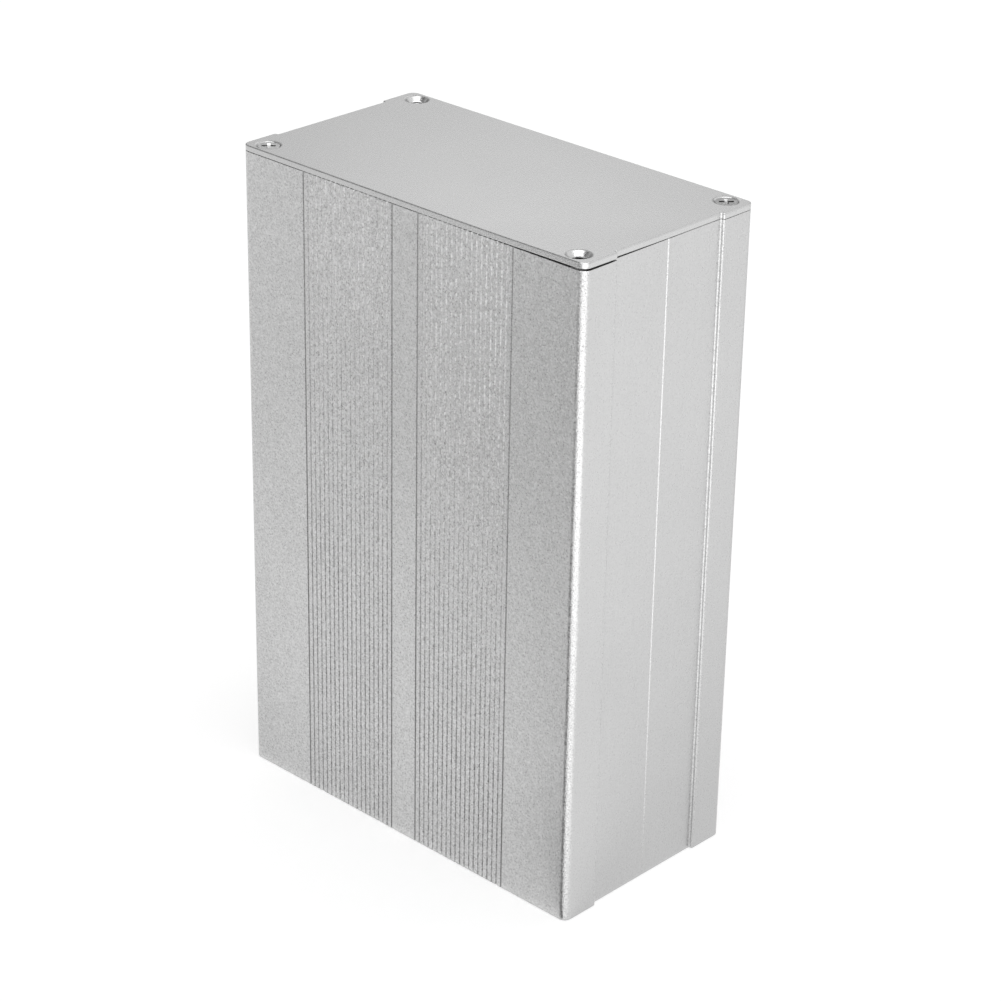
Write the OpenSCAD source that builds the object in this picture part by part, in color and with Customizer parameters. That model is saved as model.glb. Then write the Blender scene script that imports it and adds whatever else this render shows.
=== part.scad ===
// Split-body aluminium project box, standing on its open lower end.
// Two identical U-shaped extrusions meet at a tongue and groove, and an end plate closes
// the top. Two countersunk screws hold the plate at opposite corners, and one of the
// free corners stands up a little.
// Millimetres. The origin is the centre of the lower end, +X runs along the wide
// ribbed faces, +Y runs through the depth and +Z runs up the extrusions.

/* [Overall size] */
// Width across the two short sides
box_w = 106; // [92:1:160]
// Depth across the two ribbed faces
box_d = 55; // [48:1:90]
// Length of the extruded shells
shell_l = 160; // [60:5:300]
// Radius of the four upright corners
corner_r = 2; // [0.5:0.25:3]

/* [Shell walls] */
// Thickness of the ribbed walls
rib_wall = 2; // [1.6:0.1:3]
// Thickness of the recessed side walls
side_wall = 2; // [1.6:0.1:3]
// Depth of the flat recess down each short side
recess_depth = 0.9; // [0.2:0.1:1.2]
// Width of that recess, across the split line
recess_w = 34.4; // [20:0.2:38]

/* [Fine grooves] */
// Grooves in each of the two bands on a ribbed face
groove_count = 20; // [4:1:22]
// Distance from one groove to the next
groove_pitch = 1.5; // [1:0.1:1.8]
// Distance from the middle of the face to the first groove
groove_start = 4; // [1:0.5:6]
// Width of a groove
groove_w = 0.35; // [0.3:0.05:0.8]
// Depth of a groove
groove_depth = 0.2; // [0.1:0.05:0.8]

/* [Split line] */
// Chamfer on the outer edges where the two shells meet
seam_chamfer = 0.2; // [0.1:0.05:0.5]
// Extra wall inside the split line
seam_pad_t = 1; // [0.6:0.1:2]
// Height of that thicker wall
seam_pad_h = 3; // [2:0.1:4]
// Thickness of the tongue
tongue_t = 1; // [0.6:0.1:1.4]
// Height of the tongue
tongue_h = 1.2; // [0.6:0.1:1.8]
// Room left around the tongue in its groove
tongue_clear = 0.1; // [0.05:0.05:0.2]

/* [Board rails] */
// Board slots on each side wall of a shell
board_slots = 2; // [1:1:2]
// Width of a board slot
slot_w = 2; // [1.4:0.1:2.4]
// Thickness of the rails beside the slots
rail_t = 1.2; // [0.8:0.1:1.5]
// How far the rails stand out from the side wall
rail_reach = 2.2; // [1:0.1:4]
// Distance from the split line to the first rail
rail_start = 5; // [4.2:0.1:6]

/* [Screw channels] */
// Distance from a short side to the screw lines
screw_side = 5; // [4.6:0.1:8]
// Distance from a ribbed face to the screw lines
screw_face = 3.7; // [3.6:0.1:6]
// Outside diameter of a channel
channel_od = 5.6; // [5:0.1:6.6]
// Bore of a channel, along its whole length
channel_bore = 2.5; // [2:0.1:2.6]
// Width of the gap along a channel's open side
channel_gap = 1.2; // [0.6:0.1:1.6]
// Depth of the tapped stretch at both ends
tap_depth = 12; // [9:0.5:20]

/* [End plate] */
// Thickness of the end plate
plate_t = 1.5; // [1.4:0.1:3]
// Diameter of the countersinks at the top of the plate
sink_d = 5.9; // [5.6:0.1:6.2]
// How far the plate's free front corner stands up
corner_lift = 0.4; // [0.1:0.05:0.8]
// Length of the bent part along the plate's edges, from that corner
lift_reach = 30; // [24:1:36]

/* [Screws] */
// Outside diameter of the thread
screw_d = 3; // [2.8:0.1:3.2]
// Length of a screw with its head
screw_l = 10; // [6:0.5:10]
// Diameter of the countersunk head
head_d = 5.2; // [4.8:0.1:5.8]
// Height of the straight rim around the head
head_rim = 0.1; // [0.05:0.05:0.2]
// Room between the head's cone and the countersink, measured across the hole
head_clear = 0.03; // [0.02:0.01:0.1]
// Room around the thread in the end plate
hole_clear = 0.25; // [0.15:0.05:0.4]
// Room around the thread in a tapped channel
thread_clear = 0.05; // [0.02:0.01:0.1]
// Width across the cross recess at the top
cross_w = 3; // [2.4:0.1:3.4]
// Width of the cross recess at its bottom
cross_foot_w = 1.1; // [0.6:0.1:1.4]
// Thickness of one bar of the cross recess
cross_bar = 0.7; // [0.4:0.05:0.9]
// Depth of the cross recess
cross_depth = 1.5; // [0.8:0.1:1.8]
// Turn of the cross recess against the sides of the box
cross_turn = 45; // [0:5:90]

/* [Hidden] */
$fn = 48;
over = 1;
shell_color = [0.77, 0.78, 0.79];
plate_color = [0.8, 0.81, 0.82];
screw_color = [0.62, 0.62, 0.63];

side_x = box_w / 2 - recess_depth;
inner_x = side_x - side_wall;
inner_y = box_d / 2 - rib_wall;
screw_x = box_w / 2 - screw_side;
screw_y = box_d / 2 - screw_face;
tongue_x = side_x - (side_wall + seam_pad_t) / 2;
rail_pitch = slot_w + rail_t;
lift_angle = asin(corner_lift / (lift_reach * sin(45)));
top_z = shell_l + plate_t;
tap_r = screw_d / 2 + thread_clear;
hole_r = screw_d / 2 + hole_clear;
sink_depth = sink_d / 2 - hole_r;
head_cone_h = (head_d - screw_d) / 2;
head_z = top_z - (sink_d - head_d) / 2 + head_rim + head_clear;

// Outline shared by the shells and the end plate: a rectangle with round corners
// and a shallow recess down the middle of each short side
module outline() {
    difference() {
        union() {
            square([box_w - 2 * corner_r, box_d], center = true);
            square([box_w, box_d - 2 * corner_r], center = true);
            for (x = [-1, 1], y = [-1, 1])
                translate([x * (box_w / 2 - corner_r), y * (box_d / 2 - corner_r)])
                    circle(r = corner_r);
        }
        for (x = [-1, 1])
            translate([x * box_w / 2, 0])
                square([2 * recess_depth, recess_w], center = true);
    }
}

// Round channel in a corner, with solid metal between it and both walls
module channel_outside(x) {
    translate([x * screw_x, -screw_y]) {
        circle(d = channel_od);
        translate([x > 0 ? 0 : -screw_side, -screw_face])
            square([screw_side, screw_face]);
    }
}

// Bore of a channel and the gap that opens it towards the middle of the box
module channel_inside(x) {
    translate([x * screw_x, -screw_y]) {
        circle(d = channel_bore);
        rotate(90 + x * 45)
            translate([0, -channel_gap / 2])
                square([channel_od / 2 + over, channel_gap]);
    }
}

// Rails on one side wall, with a board slot between each two
module rails(x) {
    for (i = [0 : board_slots])
        translate([x * inner_x, -rail_start - i * rail_pitch - rail_t / 2])
            square([2 * rail_reach, rail_t], center = true);
}

// Space inside the front shell: the room between its walls less what stands in it
module cavity() {
    difference() {
        translate([-inner_x, -inner_y])
            square([2 * inner_x, inner_y + over]);
        for (x = [-1, 1]) {
            channel_outside(x);
            rails(x);
            translate([x * inner_x, 0])
                square([2 * seam_pad_t, 2 * seam_pad_h], center = true);
        }
    }
}

// Bands of fine grooves on the front face
module grooves() {
    for (x = [-1, 1], i = [0 : groove_count - 1])
        translate([x * (groove_start + i * groove_pitch), -box_d / 2])
            square([groove_w, 2 * groove_depth], center = true);
}

// Section of one shell. The tongue is on its +X edge and the groove on its -X edge
module shell_section() {
    difference() {
        outline();
        translate([-box_w / 2 - over, 0])
            square([box_w + 2 * over, box_d]);
        cavity();
        grooves();
        for (x = [-1, 1]) {
            channel_inside(x);
            translate([x * side_x, 0])
                rotate(45)
                    square(seam_chamfer * sqrt(2), center = true);
        }
        translate([-tongue_x, 0])
            square([tongue_t + 2 * tongue_clear, 2 * (tongue_h + tongue_clear)], center = true);
    }
    translate([tongue_x - tongue_t / 2, -tongue_h])
        square([tongue_t, 2 * tongue_h]);
}

// One whole shell with its four tapped channel ends
module shell() {
    difference() {
        linear_extrude(shell_l) shell_section();
        for (x = [-1, 1], z = [-over, shell_l - tap_depth])
            translate([x * screw_x, -screw_y, z])
                cylinder(r = tap_r, h = tap_depth + over);
    }
}

// Front shell
module front_shell() {
    color(shell_color) shell();
}

// Back shell: the same extrusion turned half round
module back_shell() {
    color(shell_color)
        rotate([0, 0, 180])
            shell();
}

// End plate before it is bent, with four countersunk holes over the channels
module flat_plate() {
    difference() {
        translate([0, 0, shell_l])
            linear_extrude(plate_t) outline();
        for (x = [-1, 1], y = [-1, 1])
            translate([x * screw_x, y * screw_y, top_z]) {
                translate([0, 0, -plate_t - over])
                    cylinder(r = hole_r, h = plate_t + 2 * over);
                translate([0, 0, -sink_depth])
                    cylinder(r1 = hole_r, r2 = sink_d / 2 + over, h = sink_depth + over);
            }
    }
}

// Space around the bent corner, as far as the fold
module corner_space() {
    translate([box_w / 2, -box_d / 2, shell_l - over])
        linear_extrude(plate_t + 2 * over)
            polygon([
                [-lift_reach - over, -over],
                [over, -over],
                [over, lift_reach + over]
            ]);
}

// End plate. Its free front corner is bent up along a straight fold across the corner
module end_plate() {
    color(plate_color) {
        difference() {
            flat_plate();
            corner_space();
        }
        translate([box_w / 2 - lift_reach, -box_d / 2, shell_l])
            rotate([0, 0, 45])
                rotate([-lift_angle, 0, 0])
                    rotate([0, 0, -45])
                        translate([lift_reach - box_w / 2, box_d / 2, -shell_l])
                            intersection() {
                                flat_plate();
                                corner_space();
                            }
    }
}

// Tapered bar of the cross recess, cut down from the top of the head
module cross_bar_cut() {
    rotate([90, 0, 0])
        linear_extrude(cross_bar, center = true)
            polygon([
                [-cross_foot_w / 2, -cross_depth],
                [cross_foot_w / 2, -cross_depth],
                [cross_w / 2, 0],
                [cross_w / 2, over],
                [-cross_w / 2, over],
                [-cross_w / 2, 0]
            ]);
}

// Countersunk screw. Its head seats on the cone of the countersink, so a head smaller
// than the countersink lies a little below the top of the plate
module screw(x, y) {
    color(screw_color)
        translate([x * screw_x, y * screw_y, head_z])
            difference() {
                union() {
                    translate([0, 0, -head_rim])
                        cylinder(d = head_d, h = head_rim);
                    translate([0, 0, -head_rim - head_cone_h])
                        cylinder(d1 = screw_d, d2 = head_d, h = head_cone_h);
                    translate([0, 0, -screw_l])
                        cylinder(d = screw_d, h = screw_l - head_rim);
                }
                for (a = [0, 90])
                    rotate(cross_turn + a) cross_bar_cut();
            }
}

front_shell();
back_shell();
end_plate();
screw(-1, -1);  // screw_left
screw(1, 1);  // screw_right
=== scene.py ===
# %% [markdown]
# # An aluminium project box
#
# This is a box for a home-made circuit. Two equal extrusions face each other, a flat plate
# closes the top, and small countersunk screws hold the plate. The solids of the box are
# already made, in millimetre-true sizes, and this file dresses them: small edge radii, threads,
# blasted and anodised metal, a floor, lamps and a camera. Everything here is in metres, in the
# frame of the solids, so each piece is built where it belongs and never moved afterwards.

# %% Load the solids
import math

import bmesh
import bpy
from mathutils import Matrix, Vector


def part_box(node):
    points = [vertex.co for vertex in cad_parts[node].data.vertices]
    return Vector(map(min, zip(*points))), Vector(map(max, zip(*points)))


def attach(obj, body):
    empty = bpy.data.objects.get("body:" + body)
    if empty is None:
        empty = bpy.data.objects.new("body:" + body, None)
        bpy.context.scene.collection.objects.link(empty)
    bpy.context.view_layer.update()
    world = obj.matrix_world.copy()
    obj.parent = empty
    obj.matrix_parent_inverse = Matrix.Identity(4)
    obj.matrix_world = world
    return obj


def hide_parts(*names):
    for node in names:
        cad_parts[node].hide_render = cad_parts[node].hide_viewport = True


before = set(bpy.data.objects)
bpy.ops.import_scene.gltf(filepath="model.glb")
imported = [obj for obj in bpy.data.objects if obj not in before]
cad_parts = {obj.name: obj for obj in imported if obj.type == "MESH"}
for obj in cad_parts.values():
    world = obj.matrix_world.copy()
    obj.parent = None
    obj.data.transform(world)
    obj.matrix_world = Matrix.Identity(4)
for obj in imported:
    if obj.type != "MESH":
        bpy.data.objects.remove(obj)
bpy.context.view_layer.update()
print("solids:", sorted(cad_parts))

# %% [markdown]
# ## The sizes that the solids already give
#
# The width, the depth, the length of the extrusions and the thickness of the plate can all be
# read off the solids, and so can the place of each screw. Reading them here, instead of typing
# them again, keeps the looks and the construction in step when a size changes.

# %% Read the main sizes
MM = 0.001

plate_low, plate_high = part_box("end_plate")
half_w = plate_high.x / MM
half_d = plate_high.y / MM
shell_l = plate_low.z / MM
plate_t = 1.5
top_z = shell_l + plate_t
corner_lift = plate_high.z / MM - top_z

screw_boxes = {name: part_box(name) for name in ("screw_left", "screw_right")}
left_low, left_high = screw_boxes["screw_left"]
screw_x = -(left_low.x + left_high.x) / 2 / MM
screw_y = -(left_low.y + left_high.y) / 2 / MM
head_d = (left_high.x - left_low.x) / MM
head_z = left_high.z / MM
screw_l = (left_high.z - left_low.z) / MM
print(f"section {2 * half_w:.1f} x {2 * half_d:.1f} mm, extrusions {shell_l:.1f} mm")
print(f"plate {plate_t:.1f} mm thick, its front corner stands up {corner_lift:.2f} mm")
print(f"screws at {screw_x:.1f}, {screw_y:.1f} mm, {screw_l:.1f} mm long, head {head_d:.1f} mm")

# %% [markdown]
# ## Paths with arcs
#
# The section of an extrusion is one closed outline of straight walls and arcs. A die for
# extrusion is cut by wire, so it has no sharp corner anywhere: even the smallest edge has a
# radius of a few tenths of a millimetre. Those radii are what catches the light on the real
# box. Two small helpers draw them: one gives the points of an arc, and the other rounds each
# corner of a path by its own radius.

# %% Arcs and rounded corners
ARC_STEP = 7.5


def arc(centre, radius, start, end):
    """Points of an arc from one angle to another, in degrees, either way round."""
    count = max(2, math.ceil(abs(end - start) / ARC_STEP))
    angles = [math.radians(start + (end - start) * i / count) for i in range(count + 1)]
    return [(centre[0] + radius * math.cos(a), centre[1] + radius * math.sin(a)) for a in angles]


def rounded(corners):
    """The path through corners given as (x, y, radius). Its two ends stay sharp."""
    path = []
    for i, (x, y, radius) in enumerate(corners):
        if radius == 0:
            path.append((x, y))
            continue
        here = Vector((x, y))
        back = (Vector(corners[i - 1][:2]) - here).normalized()
        ahead = (Vector(corners[i + 1][:2]) - here).normalized()
        half = back.angle(ahead) / 2
        centre = here + (back + ahead).normalized() * radius / math.sin(half)
        first = here + back * radius / math.tan(half) - centre
        last = here + ahead * radius / math.tan(half) - centre
        start = math.degrees(math.atan2(first.y, first.x))
        turn = (math.degrees(math.atan2(last.y, last.x)) - start + 180) % 360 - 180
        path += arc(centre, radius, start, start + turn)
    return path


def mirrored(path):
    """The path on the other side of the box, run the other way."""
    return [(-x, y) for x, y in reversed(path)]


# %% [markdown]
# ## The section of one extrusion
#
# Going round it: the ribbed face with its round corners, the side with a flat recess, the edge
# where the two extrusions meet, which has a tongue on one side and a groove on the other, a
# thicker pad behind that edge, the rails that hold a circuit board, and the round channel that
# takes the screws. Both sides are the same apart from the tongue, so one side is written
# out and the other is its mirror image. The fine grooves of the ribbed face are left out here:
# they repeat forty times, which is work for a node tree.

# %% Outside of the section
corner_r = 2.0
edge_r = 0.42
recess_depth = 0.9
recess_w = 34.4
seam_chamfer = 0.2
side_x = half_w - recess_depth

outer_side = rounded([
    (half_w - 2 * corner_r, -half_d, 0),
    (half_w, -half_d, corner_r),
    (half_w, -recess_w / 2, edge_r),
    (side_x, -recess_w / 2, edge_r),
    (side_x, -seam_chamfer, 0.1),
    (side_x - seam_chamfer, 0, 0),
])
print("points on one outer side:", len(outer_side))

# %% Screw channel
wall = 2.0
inner_x = side_x - wall
inner_y = half_d - wall
channel_r = 2.8
bore_r = 1.25
channel_gap = 1.2


def channel():
    """Right channel, from the side wall round its bore to the ribbed wall."""
    centre = (screw_x, -screw_y)
    gap_at = 135
    outside_gap = math.degrees(math.asin(channel_gap / 2 / channel_r))
    bore_gap = math.degrees(math.asin(channel_gap / 2 / bore_r))
    from_side = math.degrees(math.acos((inner_x - screw_x) / channel_r))
    to_face = 180 + math.degrees(math.asin((inner_y - screw_y) / channel_r))
    return (
        arc(centre, channel_r, from_side, gap_at - outside_gap)
        + arc(centre, bore_r, gap_at - bore_gap, gap_at + bore_gap - 360)
        + arc(centre, channel_r, gap_at + outside_gap, to_face)
    )


# %% Inside of the section
rail_start = 5.0
rail_t = 1.2
slot_w = 2.0
rail_reach = 2.2
rail_count = 3
rail_r = 0.25
pad_t = 1.0
pad_h = 3.0

rails = []
for i in range(rail_count):
    upper = -rail_start - i * (rail_t + slot_w)
    lower = upper - rail_t
    rails += [(inner_x, upper, rail_r), (inner_x - rail_reach, upper, rail_r)]
    rails += [(inner_x - rail_reach, lower, rail_r), (inner_x, lower, rail_r)]
inner_side = rounded([
    (inner_x - pad_t, 0, 0),
    (inner_x - pad_t, -pad_h, rail_r),
    (inner_x, -pad_h, rail_r),
    *rails,
    (inner_x, -screw_y + math.sqrt(channel_r**2 - (inner_x - screw_x) ** 2), 0),
])[:-1] + channel()
print("points on one inner side:", len(inner_side))

# %% Meeting edges, and the whole section but for the fine grooves
tongue_t = 1.0
tongue_h = 1.2
tongue_clear = 0.1
tongue_x = side_x - (wall + pad_t) / 2
groove_half = tongue_t / 2 + tongue_clear

tongue = rounded([
    (tongue_x + tongue_t / 2, 0, 0),
    (tongue_x + tongue_t / 2, tongue_h, 0.2),
    (tongue_x - tongue_t / 2, tongue_h, 0.2),
    (tongue_x - tongue_t / 2, 0, 0),
])
tongue_groove = [
    (-tongue_x + groove_half, 0),
    (-tongue_x + groove_half, -tongue_h - tongue_clear),
    (-tongue_x - groove_half, -tongue_h - tongue_clear),
    (-tongue_x - groove_half, 0),
]
section = outer_side + tongue + inner_side
section += mirrored(inner_side) + tongue_groove + mirrored(outer_side)
print("points of the section:", len(section))

# %% [markdown]
# ## Node trees written in the script
#
# A node tree is a drawing of how a shape is made. Written in Python, each node takes one line:
# its kind, what goes into its sockets, and its settings. A number that goes into a socket is a
# fixed value, and the output of another node makes a link. The same helper serves for
# materials, because their trees work in the same way. A tree's own sizes are inputs with plain
# names, and a modifier sets them by the socket's identifier, because two sockets could share
# a name.

# %% Helpers for node trees
def node(tree, kind, inputs=None, **settings):
    """Adds a node. An input is a value, the output of another node, or a list of outputs."""
    made = tree.nodes.new(kind)
    for name, value in settings.items():
        setattr(made, name, value)
    for key, value in (inputs or {}).items():
        if isinstance(value, (bpy.types.NodeSocket, list)):
            for output in value if isinstance(value, list) else [value]:
                tree.links.new(output, made.inputs[key])
        else:
            made.inputs[key].default_value = value
    return made


def calc(tree, operation, *values):
    """One step of arithmetic on numbers."""
    return node(tree, "ShaderNodeMath", dict(enumerate(values)), operation=operation).outputs[0]


def plus(tree, a, b):
    """One number added to another."""
    return calc(tree, "ADD", a, b)


def minus(tree, a, b):
    """One number taken from another, which comes first."""
    return calc(tree, "SUBTRACT", a, b)


def times(tree, a, b):
    """One number multiplied by another."""
    return calc(tree, "MULTIPLY", a, b)


def xyz(tree, x=0.0, y=0.0, z=0.0):
    """A vector from three numbers."""
    return node(tree, "ShaderNodeCombineXYZ", {"X": x, "Y": y, "Z": z}).outputs[0]


def axes(tree, vector):
    """The three numbers of a vector, by the names X, Y and Z."""
    return node(tree, "ShaderNodeSeparateXYZ", {0: vector}).outputs


def ramp(tree, value, low, high, first=0.0, last=1.0):
    """Runs from a first value to a last one while a number runs from low to high."""
    limits = {"From Min": low, "From Max": high, "To Min": first, "To Max": last}
    return node(tree, "ShaderNodeMapRange", {"Value": value, **limits}).outputs[0]


def new_tree(name, **inputs):
    """A geometry tree with the named inputs and one mesh as its output, and those inputs."""
    tree = bpy.data.node_groups.new(name, "GeometryNodeTree")
    for label, kind in inputs.items():
        label = label.replace("_", " ")
        tree.interface.new_socket(label, in_out="INPUT", socket_type="NodeSocket" + kind)
    tree.interface.new_socket("Geometry", in_out="OUTPUT", socket_type="NodeSocketGeometry")
    return tree, tree.nodes.new("NodeGroupInput").outputs


def real(tree, copies):
    """Instances as real mesh."""
    return node(tree, "GeometryNodeRealizeInstances", {"Geometry": copies}).outputs[0]


def finished(tree, geometry, material):
    """Ends a tree: instances become real mesh and the finish is set."""
    inputs = {"Geometry": real(tree, geometry), "Material": material}
    done = node(tree, "GeometryNodeSetMaterial", inputs).outputs[0]
    tree.links.new(done, tree.nodes.new("NodeGroupOutput").inputs[0])


# %% Grow a piece from a tree
SMOOTH_BELOW = math.radians(32)


def grow(name, tree, start_mesh, sizes):
    """Runs a tree on a starting mesh and returns the result as an object with a plain mesh."""
    piece = bpy.data.objects.new(name, start_mesh)
    bpy.context.scene.collection.objects.link(piece)
    modifier = piece.modifiers.new(tree.name, "NODES")
    modifier.node_group = tree
    for item in tree.interface.items_tree:
        if item.in_out == "INPUT" and item.name in sizes:
            modifier[item.identifier] = sizes[item.name]
    ready = piece.evaluated_get(bpy.context.evaluated_depsgraph_get())
    mesh = bpy.data.meshes.new_from_object(ready)
    piece.modifiers.clear()
    piece.data = mesh
    mesh.name = name
    mesh.shade_smooth()
    mesh.set_sharp_from_angle(angle=SMOOTH_BELOW)
    return piece


def kept_flat(piece):
    """Large flat faces keep their own normal right up to the radius beside them."""
    weight = piece.modifiers.new("Flat faces", "WEIGHTED_NORMAL")
    weight.keep_sharp = True
    weight.weight = 100


def drawn(name, *paths, closed=False):
    """A mesh of edges only, through paths given in millimetres."""
    points = [(x * MM, y * MM, 0) for path in paths for x, y in path]
    edges, first = [], 0
    for path in paths:
        edges += [(first + i, first + i + 1) for i in range(len(path) - 1)]
        if closed:
            edges.append((first + len(path) - 1, first))
        first += len(path)
    mesh = bpy.data.meshes.new(name)
    mesh.from_pydata(points, edges, [])
    return mesh


# %% [markdown]
# ## The tree for an extrusion
#
# An extrusion is its section drawn out to a length, so the tree does what the press does. A
# groove is drawn once, as a path of six points with rounded lips, and copied on to two rows of
# points, one row for each band. The bands are joined to the rest of the section, the closed
# outline is filled, and the face is extruded. The sawn edges at both ends are drawn in by a
# hair, as a file would break them. The screw channels are tapped at both ends, which a boolean
# does best: the round tap has to cut the open channel wherever the two meet.

# %% Sizes of the fine grooves
groove_count = 20
groove_pitch = 1.5
groove_start = 4.0
fine_grooves = {
    "Groove count": groove_count,
    "Groove pitch": groove_pitch * MM,
    "Groove start": groove_start * MM,
    "Groove width": 0.35 * MM,
    "Groove depth": 0.2 * MM,
    "Lip radius": 0.08 * MM,
}
band_near = groove_start - groove_pitch / 2
band_far = band_near + groove_count * groove_pitch
centre_strip = [(-band_near, -half_d), (band_near, -half_d)]
rest_of_section = [(band_far, -half_d)] + section + [(-band_far, -half_d)]
print(f"each band runs from {band_near:.2f} to {band_far:.2f} mm beside the middle of the face")


# %% Helpers for shapes in a tree
def joined(tree, *parts):
    """Several geometries as one."""
    return node(tree, "GeometryNodeJoinGeometry", {0: list(parts)}).outputs[0]


def moved(tree, geometry, **how):
    """Geometry that is carried or turned."""
    return node(tree, "GeometryNodeTransform", {"Geometry": geometry, **how}).outputs[0]


def copied(tree, points, piece, **turned):
    """A copy of a piece on each point, as real mesh."""
    inputs = {"Points": points, "Instance": piece, **turned}
    return real(tree, node(tree, "GeometryNodeInstanceOnPoints", inputs).outputs[0])


def placed(tree, geometry, **spots):
    """Geometry with its points set anew."""
    return node(tree, "GeometryNodeSetPosition", {"Geometry": geometry, **spots}).outputs[0]


def position(tree):
    """The place of each point."""
    return node(tree, "GeometryNodeInputPosition").outputs[0]


# %% One fine groove
def fine_groove(tree, given):
    """A groove with rounded lips, as edges across one pitch."""
    half_pitch = times(tree, given["Groove pitch"], 0.5)
    half_groove = times(tree, given["Groove width"], 0.5)
    left_end = times(tree, half_pitch, -1.0)
    left_lip = times(tree, half_groove, -1.0)
    depth = given["Groove depth"]
    corners = [
        xyz(tree, left_end),
        xyz(tree, left_lip),
        xyz(tree, left_lip, depth),
        xyz(tree, half_groove, depth),
        xyz(tree, half_groove),
        xyz(tree, half_pitch),
    ]
    pick = node(tree, "GeometryNodeIndexSwitch", data_type="VECTOR")
    while len(pick.index_switch_items) < len(corners):
        pick.index_switch_items.new()
    tree.links.new(node(tree, "GeometryNodeInputIndex").outputs[0], pick.inputs["Index"])
    for i, corner in enumerate(corners):
        tree.links.new(corner, pick.inputs[i + 1])
    line = node(tree, "GeometryNodeMeshLine", {"Count": len(corners)}).outputs[0]
    bent = placed(tree, line, Position=pick.outputs[0])
    curve = node(tree, "GeometryNodeMeshToCurve", {"Mesh": bent}).outputs[0]
    lips = node(
        tree, "GeometryNodeFilletCurve",
        {"Curve": curve, "Count": 3, "Radius": given["Lip radius"]}, mode="POLY",
    ).outputs[0]
    return node(tree, "GeometryNodeCurveToMesh", {"Curve": lips}).outputs[0]


# %% The two bands
def groove_bands(tree, given):
    """Two rows of fine grooves along the ribbed face, as edges."""
    count = given["Groove count"]
    face_y = times(tree, given["Half depth"], -1.0)
    span = times(tree, minus(tree, count, 1.0), given["Groove pitch"])
    first_left = times(tree, plus(tree, given["Groove start"], span), -1.0)
    step = xyz(tree, given["Groove pitch"])
    rows = [
        node(
            tree, "GeometryNodeMeshLine",
            {"Count": count, "Start Location": xyz(tree, first, face_y), "Offset": step},
        ).outputs[0]
        for first in (first_left, given["Groove start"])
    ]
    return copied(tree, joined(tree, *rows), fine_groove(tree, given))


# %% Fill an outline and draw it out
WELD = 0.002 * MM


def welded(tree, geometry):
    """Joins points that lie on each other."""
    inputs = {"Geometry": geometry, "Distance": WELD}
    return node(tree, "GeometryNodeMergeByDistance", inputs).outputs[0]


def drawn_out(tree, outline, *heights):
    """A closed solid from an outline of edges: filled, extruded step by step, and closed below."""
    curve = node(tree, "GeometryNodeMeshToCurve", {"Mesh": welded(tree, outline)}).outputs[0]
    face = node(tree, "GeometryNodeFillCurve", {"Curve": curve}, mode="NGONS").outputs[0]
    walls, top = face, True
    for height in heights:
        step = node(
            tree, "GeometryNodeExtrudeMesh",
            {"Mesh": walls, "Selection": top, "Offset": (0, 0, 1), "Offset Scale": height,
             "Individual": False},
            mode="FACES",
        )
        walls, top = step.outputs["Mesh"], step.outputs["Top"]
    under = node(tree, "GeometryNodeFlipFaces", {"Mesh": face}).outputs[0]
    return welded(tree, joined(tree, walls, under))


def eased_ends(tree, solid, length, ease):
    """Draws the two end outlines in by a hair, which breaks their sawn edges."""
    middle = times(tree, length, 0.5)
    from_middle = minus(tree, axes(tree, position(tree))["Z"], middle)
    near_end = minus(tree, middle, times(tree, ease, 0.5))
    at_end = calc(tree, "GREATER_THAN", calc(tree, "ABSOLUTE", from_middle), near_end)
    normal = axes(tree, node(tree, "GeometryNodeInputNormal").outputs[0])
    level = xyz(tree, normal["X"], normal["Y"])
    level = node(tree, "ShaderNodeVectorMath", {0: level}, operation="NORMALIZE").outputs[0]
    inward = {0: level, "Scale": times(tree, ease, -1.0)}
    shift = node(tree, "ShaderNodeVectorMath", inward, operation="SCALE").outputs[0]
    return placed(tree, solid, Selection=at_end, Offset=shift)


# %% [markdown]
# ## Screw threads
#
# The same thread shows twice: on the screws, and as the tapped stretch at the ends of the
# channels. So it is one node group, which the other trees use as a tool. A thread is a skin
# around an axis. Each row of the skin climbs by one pitch in a turn, so the rows lie along the
# crest and the root, and the ridge comes out clean with few faces. The heights are clamped at
# both ends, where the surplus rows fall together and are welded. The ridge depends on the
# height above the floor alone, so a screw and its tapped hole fit without any matching.

# %% A skin around an axis
SEGMENTS = 32


def skin(tree, rows):
    """A flat grid to be wrapped around an axis, with the row and the turn of each of its points."""
    grid = node(
        tree, "GeometryNodeMeshGrid",
        {"Size X": 1.0, "Size Y": 1.0, "Vertices X": rows, "Vertices Y": SEGMENTS + 1},
    ).outputs[0]
    index = node(tree, "GeometryNodeInputIndex").outputs[0]
    row = calc(tree, "FLOOR", calc(tree, "DIVIDE", plus(tree, index, 0.5), SEGMENTS + 1))
    column = minus(tree, index, times(tree, row, SEGMENTS + 1))
    return grid, row, calc(tree, "DIVIDE", column, SEGMENTS)


def wrapped(tree, grid, turn, radius, height):
    """The grid as a closed skin with that radius and height at each of its points."""
    angle = times(tree, turn, 2 * math.pi)
    x = times(tree, radius, calc(tree, "COSINE", angle))
    y = times(tree, radius, calc(tree, "SINE", angle))
    return welded(tree, placed(tree, grid, Position=xyz(tree, x, y, height)))


# %% The thread group
ROWS_PER_TURN = 8

tree, given = new_tree(
    "Thread", Crest_radius="Float", Root_radius="Float", Mouth_radius="Float", Tip_radius="Float",
    Pitch="Float", Length="Float", Top_height="Float",
)
row_step = calc(tree, "DIVIDE", given["Pitch"], ROWS_PER_TURN)
climb = plus(tree, given["Length"], given["Pitch"])
steps = calc(tree, "CEIL", calc(tree, "DIVIDE", climb, row_step))
rows = plus(tree, steps, 3.0)
grid, row, turn = skin(tree, rows)

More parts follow.
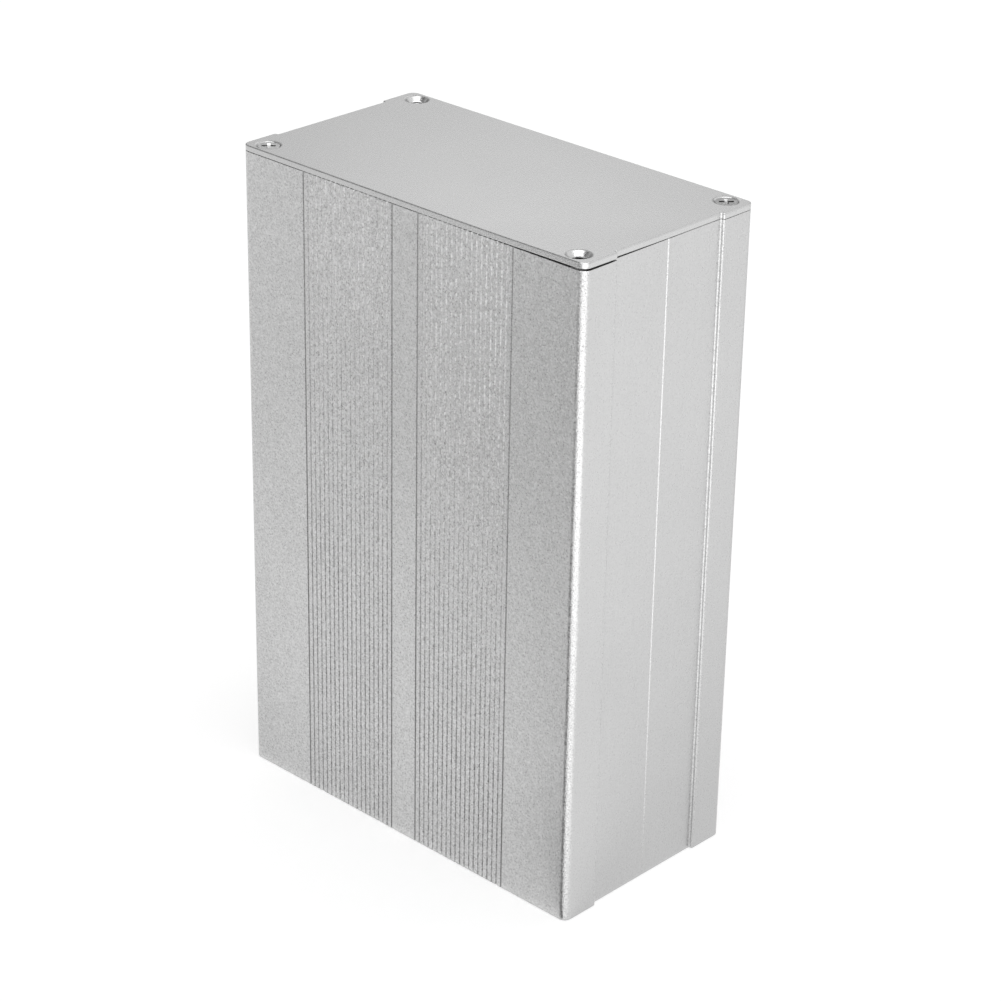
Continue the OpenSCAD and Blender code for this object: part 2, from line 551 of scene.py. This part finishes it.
down = times(tree, row_step, minus(tree, 1.0, row))
height = plus(tree, down, times(tree, given["Pitch"], turn))
lowest = times(tree, given["Length"], -1.0)
height = calc(tree, "MAXIMUM", calc(tree, "MINIMUM", height, 0.0), lowest)

above_floor = plus(tree, height, given["Top height"])
phase = minus(tree, calc(tree, "DIVIDE", above_floor, given["Pitch"]), turn)
wave = times(tree, calc(tree, "PINGPONG", phase, 0.5), 2.0)
ridge = ramp(tree, wave, 0.15, 0.85, given["Root radius"], given["Crest radius"])
mouth = plus(tree, given["Mouth radius"], height)
tip = plus(tree, given["Tip radius"], minus(tree, height, lowest))
radius = calc(tree, "MINIMUM", calc(tree, "MAXIMUM", ridge, mouth), tip)
not_first = calc(tree, "GREATER_THAN", row, 0.5)
not_last = calc(tree, "LESS_THAN", row, minus(tree, rows, 1.5))
radius = times(tree, radius, times(tree, not_first, not_last))
whole = wrapped(tree, grid, turn, radius, height)
tree.links.new(whole, tree.nodes.new("NodeGroupOutput").inputs[0])
thread_tree = tree


# %% The thread as a tool
def thread(tree, sizes):
    """Uses the thread group in another tree."""
    group = tree.nodes.new("GeometryNodeGroup")
    group.node_tree = thread_tree
    for name, value in sizes.items():
        if isinstance(value, bpy.types.NodeSocket):
            tree.links.new(value, group.inputs[name])
        else:
            group.inputs[name].default_value = value
    return group.outputs[0]


# %% The extrusion's tree
tree, given = new_tree(
    "Extruded shell", Geometry="Geometry", Length="Float", Half_depth="Float",
    Ease="Float", Groove_count="Int", Groove_pitch="Float", Groove_start="Float",
    Groove_width="Float", Groove_depth="Float", Lip_radius="Float", Tap_radius="Float",
    Tap_crest_radius="Float", Tap_depth="Float", Thread_pitch="Float", Screw_side="Float",
    Screw_face="Float", Material="Material",
)
outline = joined(tree, given["Geometry"], groove_bands(tree, given))
straight = minus(tree, given["Length"], times(tree, given["Ease"], 2.0))
solid = drawn_out(tree, outline, given["Ease"], straight, given["Ease"])
solid = eased_ends(tree, solid, given["Length"], given["Ease"])


# %% Tap the channels at both ends
def four_points(tree, half_x, size_y):
    """The corners of a rectangle."""
    size = {"Size X": times(tree, half_x, 2.0), "Size Y": size_y}
    return node(tree, "GeometryNodeMeshGrid", {**size, "Vertices X": 2, "Vertices Y": 2}).outputs[0]


def without(tree, body, *tools):
    """What is left of a body once tools are cut out of it."""
    return node(
        tree, "GeometryNodeMeshBoolean", {"Mesh 1": body, "Mesh 2": list(tools)},
        operation="DIFFERENCE", solver="EXACT",
    ).outputs[0]


tap_face = times(tree, given["Screw face"], -1.0)
tap_middle = xyz(tree, y=tap_face, z=times(tree, given["Length"], 0.5))
tap_places = four_points(tree, given["Screw side"], given["Length"])
tap_places = moved(tree, tap_places, Rotation=(math.pi / 2, 0, 0), Translation=tap_middle)
mouth_over = 1.0 * MM
tap = thread(tree, {
    "Crest radius": given["Tap radius"],
    "Root radius": given["Tap crest radius"],
    "Mouth radius": plus(tree, given["Tap radius"], mouth_over + 0.1 * MM),
    "Tip radius": minus(tree, given["Tap crest radius"], 0.1 * MM),
    "Pitch": given["Thread pitch"],
    "Length": plus(tree, given["Tap depth"], mouth_over),
    "Top height": plus(tree, given["Length"], mouth_over),
})
tap = moved(tree, tap, Translation=(0, 0, mouth_over))
at_floor = calc(tree, "LESS_THAN", axes(tree, position(tree))["Z"], 0.001)
upside_down = xyz(tree, times(tree, at_floor, math.pi))
tapped = without(tree, solid, copied(tree, tap_places, tap, Rotation=upside_down))
finished(tree, welded(tree, tapped), given["Material"])
shell_tree = tree

# %% [markdown]
# ## Blasted and anodised aluminium
#
# After extrusion the shells are blasted with fine glass beads and anodised clear. Blasting
# leaves pits of about a quarter of a millimetre, which scatter the light and hide the lines of
# the die, but not fully: a trace of them still runs along the length. The anodised layer has no
# colour, but its thickness wanders a little over the face. So one finish lays three things on a
# metallic shader: a fine noise as bump, as roughness and as sparkle in the colour, a noise that
# is stretched along Z for the die lines, and a slow noise for the drift in tone.
#
# The beads don't bite evenly. On the ribbed faces the grain is much stronger than on the sides.
# In the bands it breaks each groove into a row of darker and lighter beads, and it roughens the
# long edges: the split line, the steps of the recess and the corners. The bottoms of the grooves
# also carry painted shade towards the foot and a painted highlight towards the top, and the
# bottom of the outermost groove of each band is darker. A few masks, made from the distance to
# those places, say where. All of it reads Object coordinates, so the pattern stays on the metal.
# The plate and the screws share the base of the finish, with less grain on the plate and more on
# the nickel plating of the screws. The screws carry painted shade in their cross recess, and
# painted shade darkens the whole right screw.

# %% Helpers for finishes
def new_finish(name):
    """A material with an empty Principled shader, and the object's own coordinates."""
    material = bpy.data.materials.new(name)
    material.use_nodes = True
    tree = material.node_tree
    shader = tree.nodes["Principled BSDF"]
    where = node(tree, "ShaderNodeTexCoord").outputs["Object"]
    return material, tree, shader, where


def noise(tree, where, per_mm, detail=2.0, stretch=(1, 1, 1), shift=(0, 0, 0)):
    """Noise around 0.5, with about that many spots to a millimetre along each unstretched axis."""
    size = tuple(per_mm / MM * s for s in stretch)
    mapping = {"Vector": where, "Location": shift, "Scale": size}
    spot = node(tree, "ShaderNodeMapping", mapping).outputs[0]
    inputs = {"Vector": spot, "Scale": 1.0, "Detail": detail, "Roughness": 0.6}
    return node(tree, "ShaderNodeTexNoise", inputs).outputs[0]


def around(tree, value, middle, spread):
    """Turns noise around 0.5 into a value around a middle."""
    return calc(tree, "MULTIPLY_ADD", value, 2 * spread, middle - spread)


def near_to(tree, value, middle, inner, outer):
    """One where a distance lies near a middle, in millimetres, and zero from the outer limit on."""
    off = calc(tree, "ABSOLUTE", minus(tree, value, middle * MM))
    return ramp(tree, off, inner * MM, outer * MM, 1.0, 0.0)


# %% Places on a shell where the blasting bites, and the groove bottoms that carry painted light
def grain_and_painted_light_places(tree, where):
    """Masks of a shell: ribbed faces, bands, groove sides, groove bottoms and long edges."""
    spot = axes(tree, where)
    across, depth = (calc(tree, "ABSOLUTE", spot[axis]) for axis in "XY")
    face = near_to(tree, depth, half_d, 0.5, 1.6)
    turn = calc(tree, "DIVIDE", minus(tree, across, groove_start * MM), groove_pitch * MM)
    off_groove = times(tree, calc(tree, "PINGPONG", turn, 0.5), groove_pitch * MM)
    middle, half_width = (band_near + band_far) / 2, (band_far - band_near) / 2
    inner_grooves = half_width - 1.5 * groove_pitch
    band = near_to(tree, across, middle, inner_grooves, inner_grooves + 0.5)
    band = times(tree, band, face)
    groove = times(tree, near_to(tree, off_groove, 0, 0.2, 0.55), band)
    grooved = times(tree, near_to(tree, across, middle, half_width - 0.2, half_width), face)
    bottom = times(tree, near_to(tree, off_groove, 0, 0.15, 0.3), grooved)
    seam = near_to(tree, depth, 0, 0.15, 0.5)
    step = near_to(tree, depth, recess_w / 2, 0.5, 0.9)
    near_side = near_to(tree, across, half_w, 0.6, 1.6)
    corner = times(tree, near_side, near_to(tree, depth, half_d, 0.6, 1.6))
    edge = calc(tree, "MAXIMUM", calc(tree, "MAXIMUM", seam, step), corner)
    return face, band, groove, bottom, edge


# %% Blasted metal
pit_depth = 0.12 * MM


def blasted(name, tone, roughness, grain, streak, pits):
    """Bead-blasted and clear-anodised aluminium: grain, pits, traces of the die, a slow drift."""
    material, tree, shader, where = new_finish(name)
    fine = noise(tree, where, 2.6, detail=1.5)
    cloud = noise(tree, where, 0.035, shift=(3.1, 1.7, 0.4))
    lines = noise(tree, where, 2.2, stretch=(1, 1, 0.012), shift=(0.3, 8.2, 5.5))
    speck = around(tree, fine, 0.0, grain)
    value = plus(tree, around(tree, cloud, tone, 0.02), around(tree, lines, 0.0, streak))
    tree.links.new(around(tree, fine, roughness, 0.08), shader.inputs["Roughness"])
    shader.inputs["Metallic"].default_value = 1.0
    bump = node(tree, "ShaderNodeBump", {"Height": fine, "Strength": pits, "Distance": pit_depth})
    tree.links.new(bump.outputs[0], shader.inputs["Normal"])
    return material, tree, shader, where, speck, value


def coloured(tree, shader, value):
    """Gives the shader a plain grey that follows a value."""
    colour = node(tree, "ShaderNodeCombineColor", {0: value, 1: value, 2: value}).outputs[0]
    tree.links.new(colour, shader.inputs["Base Color"])


# %% The shells' finish
shell_finish, tree, shader, where, speck, value = blasted(
    "blasted_shell", tone=0.545, roughness=0.3, grain=0.06, streak=0.015, pits=0.8
)
face, band, groove, bottom, edge = grain_and_painted_light_places(tree, where)
strength = 1.0
for place, added in ((face, 3.6), (band, 0.7), (edge, 2.5)):
    strength = calc(tree, "MULTIPLY_ADD", place, added, strength)
value = calc(tree, "MULTIPLY_ADD", speck, strength, value)
beads = noise(tree, where, 1.5, detail=1.0, stretch=(1, 1, 0.8), shift=(6.6, 2.3, 1.9))
beads = ramp(tree, beads, 0.38, 0.62, -0.17, 0.17)
value = calc(tree, "MULTIPLY_ADD", times(tree, beads, groove), value, value)
# Painted shade towards the foot and a painted highlight towards the top of the groove bottoms; the
# bottom of the outermost groove of each band is darker.
painted_light_by_height = ramp(tree, axes(tree, where)["Z"], 0.0, shell_l * MM, -0.09, 0.08)
duller_ends = calc(tree, "MULTIPLY_ADD", band, 0.2, -0.2)
in_bottom = calc(tree, "MULTIPLY_ADD", band, painted_light_by_height, duller_ends)
coloured(tree, shader, calc(tree, "MULTIPLY_ADD", bottom, in_bottom, value))

# %% The plate's and the screws' finishes
plate_finish, tree, shader, where, speck, value = blasted(
    "blasted_plate", tone=0.545, roughness=0.27, grain=0.055, streak=0.0, pits=0.4
)
coloured(tree, shader, plus(tree, speck, value))
screw_finish, tree, shader, where, speck, value = blasted(
    "nickel_screw", tone=0.5, roughness=0.2, grain=0.3, streak=0.0, pits=0.8
)
spot = axes(tree, where)
# Painted shade: the right screw is given a darker tone than the left one, though both are the same
# screw.
right_one = calc(tree, "GREATER_THAN", spot["X"], 0.0)
duller = calc(tree, "MULTIPLY_ADD", right_one, -0.16, value)
# Painted shade in the cross recess: the tone falls to half towards its depth.
sunk = ramp(tree, spot["Z"], (head_z - 0.5) * MM, (head_z - 0.1) * MM, 0.5, 1.0)
coloured(tree, shader, times(tree, plus(tree, speck, duller), sunk))

# %% Make the two shells
thread_pitch = 0.5 * MM
shell_sizes = {
    **fine_grooves,
    "Length": shell_l * MM,
    "Half depth": half_d * MM,
    "Ease": 0.06 * MM,
    "Tap radius": 1.55 * MM,
    "Tap crest radius": 1.29 * MM,
    "Tap depth": 12 * MM,
    "Thread pitch": thread_pitch,
    "Screw side": screw_x * MM,
    "Screw face": screw_y * MM,
    "Material": shell_finish,
}
front, back = (
    grow(name, shell_tree, drawn(name + "_section", centre_strip, rest_of_section), shell_sizes)
    for name in ("front_extrusion", "back_extrusion")
)
half_turn = [(-v.co.x, -v.co.y, v.co.z) for v in back.data.vertices]
for vertex, spot in zip(back.data.vertices, half_turn):
    vertex.co = spot


def cm3(piece):
    """Volume of a closed mesh in cubic centimetres, below zero if its faces point inwards."""
    piece.data.calc_loop_triangles()
    corners = [v.co for v in piece.data.vertices]
    six = sum(
        corners[a].dot(corners[b].cross(corners[c]))
        for a, b, c in (t.vertices for t in piece.data.loop_triangles)
    )
    return six / 6 * 1e6


for piece, solid_name in ((front, "front_shell"), (back, "back_shell")):
    kept_flat(piece)
    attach(piece, "root")
    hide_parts(solid_name)
    print(piece.name, "triangles:", len(piece.data.loop_triangles), f"volume {cm3(piece):.2f} cm3")

# %% [markdown]
# ## The end plate
#
# The plate is sheet of the same outline as the shells, punched and countersunk at its four
# corners. It is the same job as an extrusion, only short, so it uses the same fill and
# extrude steps. Two cutters, a drill and the cone of a countersink, are copied to the four
# corners and cut away. The upper edge gets a small real bevel, because the thin line of light
# or shade along it is the first thing that one sees of the plate.

# %% The plate's tree
SINK_OVER = 1.0 * MM

tree, given = new_tree(
    "Countersunk plate", Geometry="Geometry", Thickness="Float", Height="Float",
    Half_width_between_holes="Float", Half_depth_between_holes="Float", Hole_radius="Float",
    Sink_radius="Float", Material="Material",
)
sheet = drawn_out(tree, given["Geometry"], given["Thickness"])
sheet = moved(tree, sheet, Translation=xyz(tree, z=given["Height"]))

drill = node(
    tree, "GeometryNodeMeshCylinder",
    {"Vertices": 64, "Radius": given["Hole radius"], "Depth": 10 * MM},
).outputs[0]
sink_depth = minus(tree, given["Sink radius"], given["Hole radius"])
cone = node(
    tree, "GeometryNodeMeshCone",
    {"Vertices": 64, "Depth": plus(tree, sink_depth, SINK_OVER),
     "Radius Bottom": given["Hole radius"],
     "Radius Top": plus(tree, given["Sink radius"], SINK_OVER)},
).outputs["Mesh"]
cone = moved(tree, cone, Translation=xyz(tree, z=times(tree, sink_depth, -1.0)))
size_y = times(tree, given["Half depth between holes"], 2.0)
holes = four_points(tree, given["Half width between holes"], size_y)
top = plus(tree, given["Height"], given["Thickness"])
holes = moved(tree, holes, Translation=xyz(tree, z=top))
for cutter in (drill, cone):
    sheet = without(tree, sheet, copied(tree, holes, cutter))
finished(tree, sheet, given["Material"])

# %% Make the plate
side_step = rounded([
    (0, -half_d, 0),
    (half_w, -half_d, corner_r),
    (half_w, -recess_w / 2, edge_r),
    (side_x, -recess_w / 2, edge_r),
    (side_x, 0, 0),
])
right_half = side_step + [(x, -y) for x, y in reversed(side_step[:-1])]
plate_outline = right_half + [(-x, y) for x, y in reversed(right_half[1:-1])]
plate = grow(
    "countersunk_plate", tree, drawn("plate_outline", plate_outline, closed=True),
    {
        "Thickness": plate_t * MM,
        "Height": shell_l * MM,
        "Half width between holes": screw_x * MM,
        "Half depth between holes": screw_y * MM,
        "Hole radius": 1.75 * MM,
        "Sink radius": 2.95 * MM,
        "Material": plate_finish,
    },
)

# %% [markdown]
# ## The corner that stands up
#
# Two screws hold the plate, and the front corner is one of the two without. There the plate
# stands up from the extrusion by a few tenths of a millimetre, and the gap below it is the
# darkest line of the whole box. A bend needs edges to bend along, so the plate is first cut by
# parallel planes across the corner. Each point is then raised by its distance from the
# fold: along a parabola at the fold, and in a straight line beyond it.

# %% Bend the corner up
lift_reach = 30.0
fold_half = 6.0
fold_cuts = 7

diagonal = Vector((1, -1, 0)).normalized()
fold = Vector((half_w - lift_reach, -half_d, 0))
corner_point = Vector((half_w - corner_r, -half_d + corner_r, 0)) + diagonal * corner_r
slope = corner_lift / (corner_point - fold).dot(diagonal)

shape = bmesh.new()
shape.from_mesh(plate.data)
for i in range(fold_cuts):
    beyond = fold_half * (2 * i / (fold_cuts - 1) - 1)
    everything = shape.verts[:] + shape.edges[:] + shape.faces[:]
    spot = (fold + diagonal * beyond) * MM
    bmesh.ops.bisect_plane(shape, geom=everything, plane_co=spot, plane_no=diagonal, dist=1e-7)
for vertex in shape.verts:
    beyond = (vertex.co / MM - fold).dot(diagonal)
    if beyond > fold_half:
        vertex.co.z += slope * beyond * MM
    elif beyond > -fold_half:
        vertex.co.z += slope * (beyond + fold_half) ** 2 / (4 * fold_half) * MM
shape.to_mesh(plate.data)
shape.free()
plate_top = max(v.co.z for v in plate.data.vertices) / MM
print(f"slope of the corner {100 * slope:.1f} %, top now {plate_top:.3f} mm")

# %% Finish the plate
edge = plate.modifiers.new("Eased edges", "BEVEL")
edge.width = 0.26 * MM
edge.use_clamp_overlap = False
edge.segments = 3
edge.limit_method = "ANGLE"
edge.angle_limit = math.radians(40)
kept_flat(plate)
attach(plate, "root")
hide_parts("end_plate")
print(plate.name, f"volume {cm3(plate):.2f} cm3")

# %% [markdown]
# ## The screws
#
# These are M3 machine screws with a countersunk head and a cross recess, nickel plated. The
# head is a short path from the middle of its top to its neck, turned around an axis like work
# in a lathe. It is united with the thread, and the recess is then cut by two tapered bars and a
# blunt cone between them, like the point of a cross driver. Only two of the four holes hold a
# screw, at opposite corners. The box looks the same after half a turn, so the second screw is
# the first one carried half round.

# %% The screw's tree
tree, given = new_tree(
    "Countersunk screw", Geometry="Geometry", Length="Float", Neck_depth="Float",
    Thread_radius="Float", Root_radius="Float", Thread_pitch="Float", Cross_width="Float",
    Cross_foot="Float", Cross_bar="Float", Cross_depth="Float", Cross_turn="Float",
    Screw_side="Float", Screw_face="Float", Head_height="Float", Material="Material",
)
profile = given["Geometry"]
rows = node(tree, "GeometryNodeAttributeDomainSize", {"Geometry": profile}).outputs["Point Count"]
grid, row, turn = skin(tree, rows)
on_profile = axes(tree, node(
    tree, "GeometryNodeSampleIndex",
    {"Geometry": profile, "Value": position(tree), "Index": row}, data_type="FLOAT_VECTOR",
).outputs[0])
head = wrapped(tree, grid, turn, on_profile["X"], on_profile["Y"])

shank = thread(tree, {
    "Crest radius": given["Thread radius"],
    "Root radius": given["Root radius"],
    "Mouth radius": plus(tree, given["Thread radius"], 0.2 * MM),
    "Tip radius": minus(tree, given["Root radius"], 0.1 * MM),
    "Pitch": given["Thread pitch"],
    "Length": minus(tree, given["Length"], given["Neck depth"]),
    "Top height": minus(tree, given["Head height"], given["Neck depth"]),
})
neck = xyz(tree, z=times(tree, given["Neck depth"], -1.0))
both = {"Mesh 2": [head, moved(tree, shank, Translation=neck)]}
blank = node(tree, "GeometryNodeMeshBoolean", both, operation="UNION", solver="EXACT").outputs[0]

# %% Cross recess
cut_depth = given["Cross depth"]
cut_height = times(tree, cut_depth, 2.0)
size = xyz(tree, given["Cross width"], given["Cross bar"], cut_height)
bar = node(tree, "GeometryNodeMeshCube", {"Size": size}).outputs[0]
spot = axes(tree, position(tree))
part_way = calc(tree, "DIVIDE", spot["Z"], cut_depth)
foot_share = calc(tree, "DIVIDE", given["Cross foot"], given["Cross width"])
narrowing = minus(tree, 1.0, foot_share)
narrow = calc(tree, "MULTIPLY_ADD", part_way, narrowing, 1.0)
thinner = calc(tree, "MULTIPLY_ADD", part_way, 0.15, 1.0)
along = times(tree, spot["X"], narrow)
athwart = times(tree, spot["Y"], thinner)
bar = placed(tree, bar, Position=xyz(tree, along, athwart, spot["Z"]))
bars = [
    moved(tree, bar, Rotation=xyz(tree, z=plus(tree, given["Cross turn"], quarter)))
    for quarter in (0.0, math.pi / 2)
]
blunt = node(
    tree, "GeometryNodeMeshCone",
    {"Vertices": 16, "Depth": 3 * MM, "Radius Bottom": 0.2 * MM, "Radius Top": 0.8 * MM},
).outputs["Mesh"]
blunt = moved(tree, blunt, Translation=xyz(tree, z=times(tree, cut_depth, -1.08)))
screw = welded(tree, without(tree, blank, *bars, blunt))

# %% The two places
side_to_side = times(tree, given["Screw side"], 2.0)
face_to_face = times(tree, given["Screw face"], 2.0)
first_x, first_y = (times(tree, given[side], -1.0) for side in ("Screw side", "Screw face"))
first_place = xyz(tree, first_x, first_y, given["Head height"])
step = xyz(tree, side_to_side, face_to_face)
pair = {"Count": 2, "Start Location": first_place, "Offset": step}
pair = node(tree, "GeometryNodeMeshLine", pair).outputs[0]
half_round = times(tree, node(tree, "GeometryNodeInputIndex").outputs[0], math.pi)
screws = copied(tree, pair, screw, Rotation=xyz(tree, z=half_round))
finished(tree, screws, given["Material"])

# %% Make the screws
head_r = head_d / 2
head_rim = 0.1
neck_r = 1.42
neck_depth = head_rim + head_r - neck_r
head_path = rounded([
    (0, 0, 0),
    (head_r, 0, 0.06),
    (head_r, -head_rim, 0.04),
    (neck_r, -neck_depth, 0),
]) + [(0, -neck_depth)]
screws = grow(
    "countersunk_screws", tree, drawn("screw_head", head_path),
    {
        "Length": screw_l * MM,
        "Neck depth": (neck_depth - 0.2) * MM,
        "Thread radius": 1.5 * MM,
        "Root radius": 1.2 * MM,
        "Thread pitch": thread_pitch,
        "Cross width": 3.3 * MM,
        "Cross foot": 1.1 * MM,
        "Cross bar": 0.85 * MM,
        "Cross depth": 1.5 * MM,
        "Cross turn": math.radians(45),
        "Screw side": screw_x * MM,
        "Screw face": screw_y * MM,
        "Head height": head_z * MM,
        "Material": screw_finish,
    },
)
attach(screws, "root")
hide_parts("screw_left", "screw_right")
volume = cm3(screws)
print(screws.name, "triangles:", len(screws.data.loop_triangles), f"volume {volume:.3f} cm3")

# %% [markdown]
# ## Floor
#
# The box stands on a plain white floor that runs out of sight. Lit by the lamps alone it would
# turn grey far from them. So the floor also glows a little, but only towards the camera and for
# mirrored rays: the part that lights other things stays honest, and the shadow around the foot
# of the box is kept. Most of what the metal mirrors of the floor is plain white, because the
# paper sweeps under a product are far larger and more evenly lit than this one. Seen from
# underneath the floor is clear, so that the open lower end can be looked into.

# %% Floor
def bare_material(name):
    """A material with only its output, and that output."""
    material = bpy.data.materials.new(name)
    material.use_nodes = True
    material.node_tree.nodes.clear()
    return material, material.node_tree, material.node_tree.nodes.new("ShaderNodeOutputMaterial")


own_glow = 0.47
mirrored_white = 1.07
mirrored_share = 0.7

floor_finish, tree, output = bare_material("white_floor")
ray = node(tree, "ShaderNodeLightPath").outputs
seen = calc(tree, "MAXIMUM", ray["Is Camera Ray"], ray["Is Glossy Ray"])
seen = calc(tree, "MAXIMUM", seen, ray["Is Transmission Ray"])
paper = node(tree, "ShaderNodeBsdfDiffuse", {"Color": (0.9, 0.9, 0.9, 1)}).outputs[0]
glow = times(tree, seen, own_glow)
glow = node(tree, "ShaderNodeEmission", {"Strength": glow}).outputs[0]
lit = node(tree, "ShaderNodeAddShader", {0: paper, 1: glow}).outputs[0]
behind = node(tree, "ShaderNodeNewGeometry").outputs["Backfacing"]
below = times(tree, behind, ray["Is Camera Ray"])
clear = node(tree, "ShaderNodeBsdfTransparent").outputs[0]
plain_white = node(tree, "ShaderNodeEmission", {"Strength": mirrored_white}).outputs[0]
part = times(tree, ray["Is Glossy Ray"], mirrored_share)
top_side = node(tree, "ShaderNodeMixShader", {0: part, 1: lit, 2: plain_white}).outputs[0]
surface = node(tree, "ShaderNodeMixShader", {0: below, 1: top_side, 2: clear}).outputs[0]
tree.links.new(surface, output.inputs["Surface"])

under_box = (0, 0, -0.1 * MM)
bpy.ops.mesh.primitive_circle_add(vertices=96, radius=6.0, fill_type="NGON", location=under_box)
floor = bpy.context.object
floor.name = "floor"
floor.data.materials.append(floor_finish)

# %% [markdown]
# ## Cards around the box
#
# Metal shows nothing but its surroundings, so a photographer shapes it with cards rather than
# with lamps. Each card here is a strip between two rows of corners, with a glow of its own that
# may change along it. The cards work on mirrored rays alone: they throw no shadow, they light
# nothing, and the camera doesn't see them. A vertical face mirrors the floor in front of it, each
# point about twice its own height away, so a card on the floor tones a face from bottom to top.
# A slanting edge mirrors the air, so its cards stand a metre away, between two azimuths and two
# elevations.

# %% Helpers for cards
foot = Vector((half_w - 0.6, -half_d + 0.6, 0.2))


def card(name, rows, near, far, start=foot, reach=300.0):
    """A card between two rows of corners. Its glow changes with the distance from a start."""
    count = len(rows[0])
    mesh = bpy.data.meshes.new(name)
    faces = [(i, i + 1, count + i + 1, count + i) for i in range(count - 1)]
    mesh.from_pydata([corner * MM for row in rows for corner in row], [], faces)
    finish, tree, output = bare_material(name)
    ends = {0: node(tree, "ShaderNodeTexCoord").outputs["Object"], 1: start * MM}
    away = node(tree, "ShaderNodeVectorMath", ends, operation="DISTANCE").outputs["Value"]
    glow = {"Strength": ramp(tree, away, 0.0, reach * MM, near, far)}
    tree.links.new(node(tree, "ShaderNodeEmission", glow).outputs[0], output.inputs["Surface"])
    mesh.materials.append(finish)
    piece = bpy.data.objects.new(name, mesh)
    bpy.context.scene.collection.objects.link(piece)
    for ray_kind in ("camera", "diffuse", "shadow", "transmission"):
        setattr(piece, "visible_" + ray_kind, False)
    return piece


def direction(azimuth, elevation):
    """Unit vector towards a place, with the azimuth counted from +X towards +Y."""
    a, e = math.radians(azimuth), math.radians(elevation)
    return Vector((math.cos(a) * math.cos(e), math.sin(a) * math.cos(e), math.sin(e)))


def turns(first, last):
    """Azimuths from one to another."""
    return [first + (last - first) * i / 12 for i in range(13)]


def fan(first, last, near, far):
    """Two rows on the floor in front of the near corner of the box."""
    return [[foot + direction(a, 0) * away for a in turns(first, last)] for away in (near, far)]


def upright(first, last, low, high):
    """Two rows a metre from the top of the box, between two azimuths and two elevations."""
    top = Vector((0, 0, top_z))
    return [[direction(a, e) * 1000 + top for a in turns(first, last)] for e in (low, high)]


# %% [markdown]
# ## Cards on the floor
#
# A white card in front of the near corner draws the bright line along it, and gets brighter
# away from the box, so that the line does so towards the top. The black card beside it gives
# the thin dark line on the left of that corner. The grey cards shade the ribbed face towards
# the corner and the top, and the side cards keep the right side light and almost even. The
# foot card tones the lowest part of the ribbed face.

# %% Cards on the floor
card("white_card", fan(289, 362, 1, 700), 1.32, 2.35)
card("black_card", fan(246, 272, 1, 420), 0.1, 0.2)
card("grey_card_near", fan(226, 246, 1, 60), 0.5, 0.5)
card("grey_card", fan(226, 246, 60, 240), 0.86, 0.8)
card("grey_card_far", fan(223, 246, 240, 440), 0.4, 0.25, reach=440.0)
card("grey_card_left", fan(200, 223, 260, 460), 1.2, 0.85, reach=460.0)
card("side_card", fan(16, 60, 1, 700), 1.11, 1.31)
card("side_card_back", fan(60, 90, 1, 420), 0.96, 0.96)
front_strip = [
    [Vector((-150, -29, 0.2)), Vector((49, -29, 0.2))],
    [Vector((-150, -52, 0.2)), Vector((27, -52, 0.2))],
]
card("foot_card", front_strip, 0.93, 0.93)

# %% [markdown]
# ## Cards in the air
#
# These are for the edges and the holes. A countersink is a ring of slanting wall that mirrors
# half the sky: white from its left to its middle, from the bright card overhead, and dark at
# its right, from the black one, which also draws the dark line along the front edge of
# the plate. The pale card lights the plate's right edge. The card behind the box is what the top
# mirrors. It is brightest high up, so the top is lightest near its front corner.

# %% Cards in the air
card("black_card_front", upright(198, 246, 20, 68), 0.2, 0.2)
card("overhead_card", upright(-112, 26, 30, 78), 2.8, 2.8)
card("pale_card", upright(26, 104, 0, 78), 1.08, 1.08)
back_left = Vector((-520, 59, 150))
back_right = Vector((-60, 501, 150))
up = Vector((0, 0, 410))
back_rows = [[back_left, back_right], [back_left + up, back_right + up]]
brightest = Vector((-271, 298, 450))
card("back_card", back_rows, 1.58, 0.0, start=brightest, reach=380.0)

# %% [markdown]
# ## Lamps and surroundings
#
# The cards do the shaping, so two large soft lamps are enough: one straight above, which keeps
# the floor even and puts the shadow close around the foot, and a weak one at the right and
# behind. Both are area lamps, given as the brightness of their face, because that doesn't
# change with their size. A plain grey-white world fills in the rest.

# %% Lamps
def softbox(name, azimuth, elevation, size, radiance):
    """A square lamp 1.1 m from the box, aimed at its middle, with a face of a given radiance."""
    lamp = bpy.data.lights.new(name, "AREA")
    lamp.size = size
    lamp.energy = radiance * math.pi * size**2
    box = bpy.data.objects.new(name, lamp)
    bpy.context.scene.collection.objects.link(box)
    middle = Vector((0, 0, shell_l / 2 * MM))
    away = direction(azimuth, elevation)
    box.location = middle + away * 1.1
    box.rotation_euler = away.to_track_quat("Z", "Y").to_euler()
    box.visible_camera = False
    return box


softbox("overhead_softbox", 0, 90, 0.5, 0.8)
softbox("side_softbox", 56, 38, 0.6, 0.3)

# %% World
world = bpy.data.worlds.new("studio")
bpy.context.scene.world = world
world.use_nodes = True
background = world.node_tree.nodes["Background"].inputs
background["Color"].default_value = (1, 1, 1, 1)
background["Strength"].default_value = 0.6

# %% [markdown]
# ## Camera
#
# The camera looks down on the near corner from about three quarters of a metre, with a long
# lens, so the upright edges lean together only a little. Its place and its turn were fitted to
# the outline of the box, the split line and the edges of the plate. It has no depth of field.
# Colours are shown as they are, without a film look.

# %% Camera
camera = bpy.data.objects.new("camera", bpy.data.cameras.new("camera"))
bpy.context.scene.collection.objects.link(camera)
camera.data.sensor_width = 36.0
camera.data.lens = 107.74
camera.data.clip_start = 0.01
camera.location = (0.43734, -0.45810, 0.38732)
camera.rotation_euler = [math.radians(a) for a in (64.12, -0.935, 43.848)]
bpy.context.scene.camera = camera

bpy.context.scene.view_settings.view_transform = "Standard"
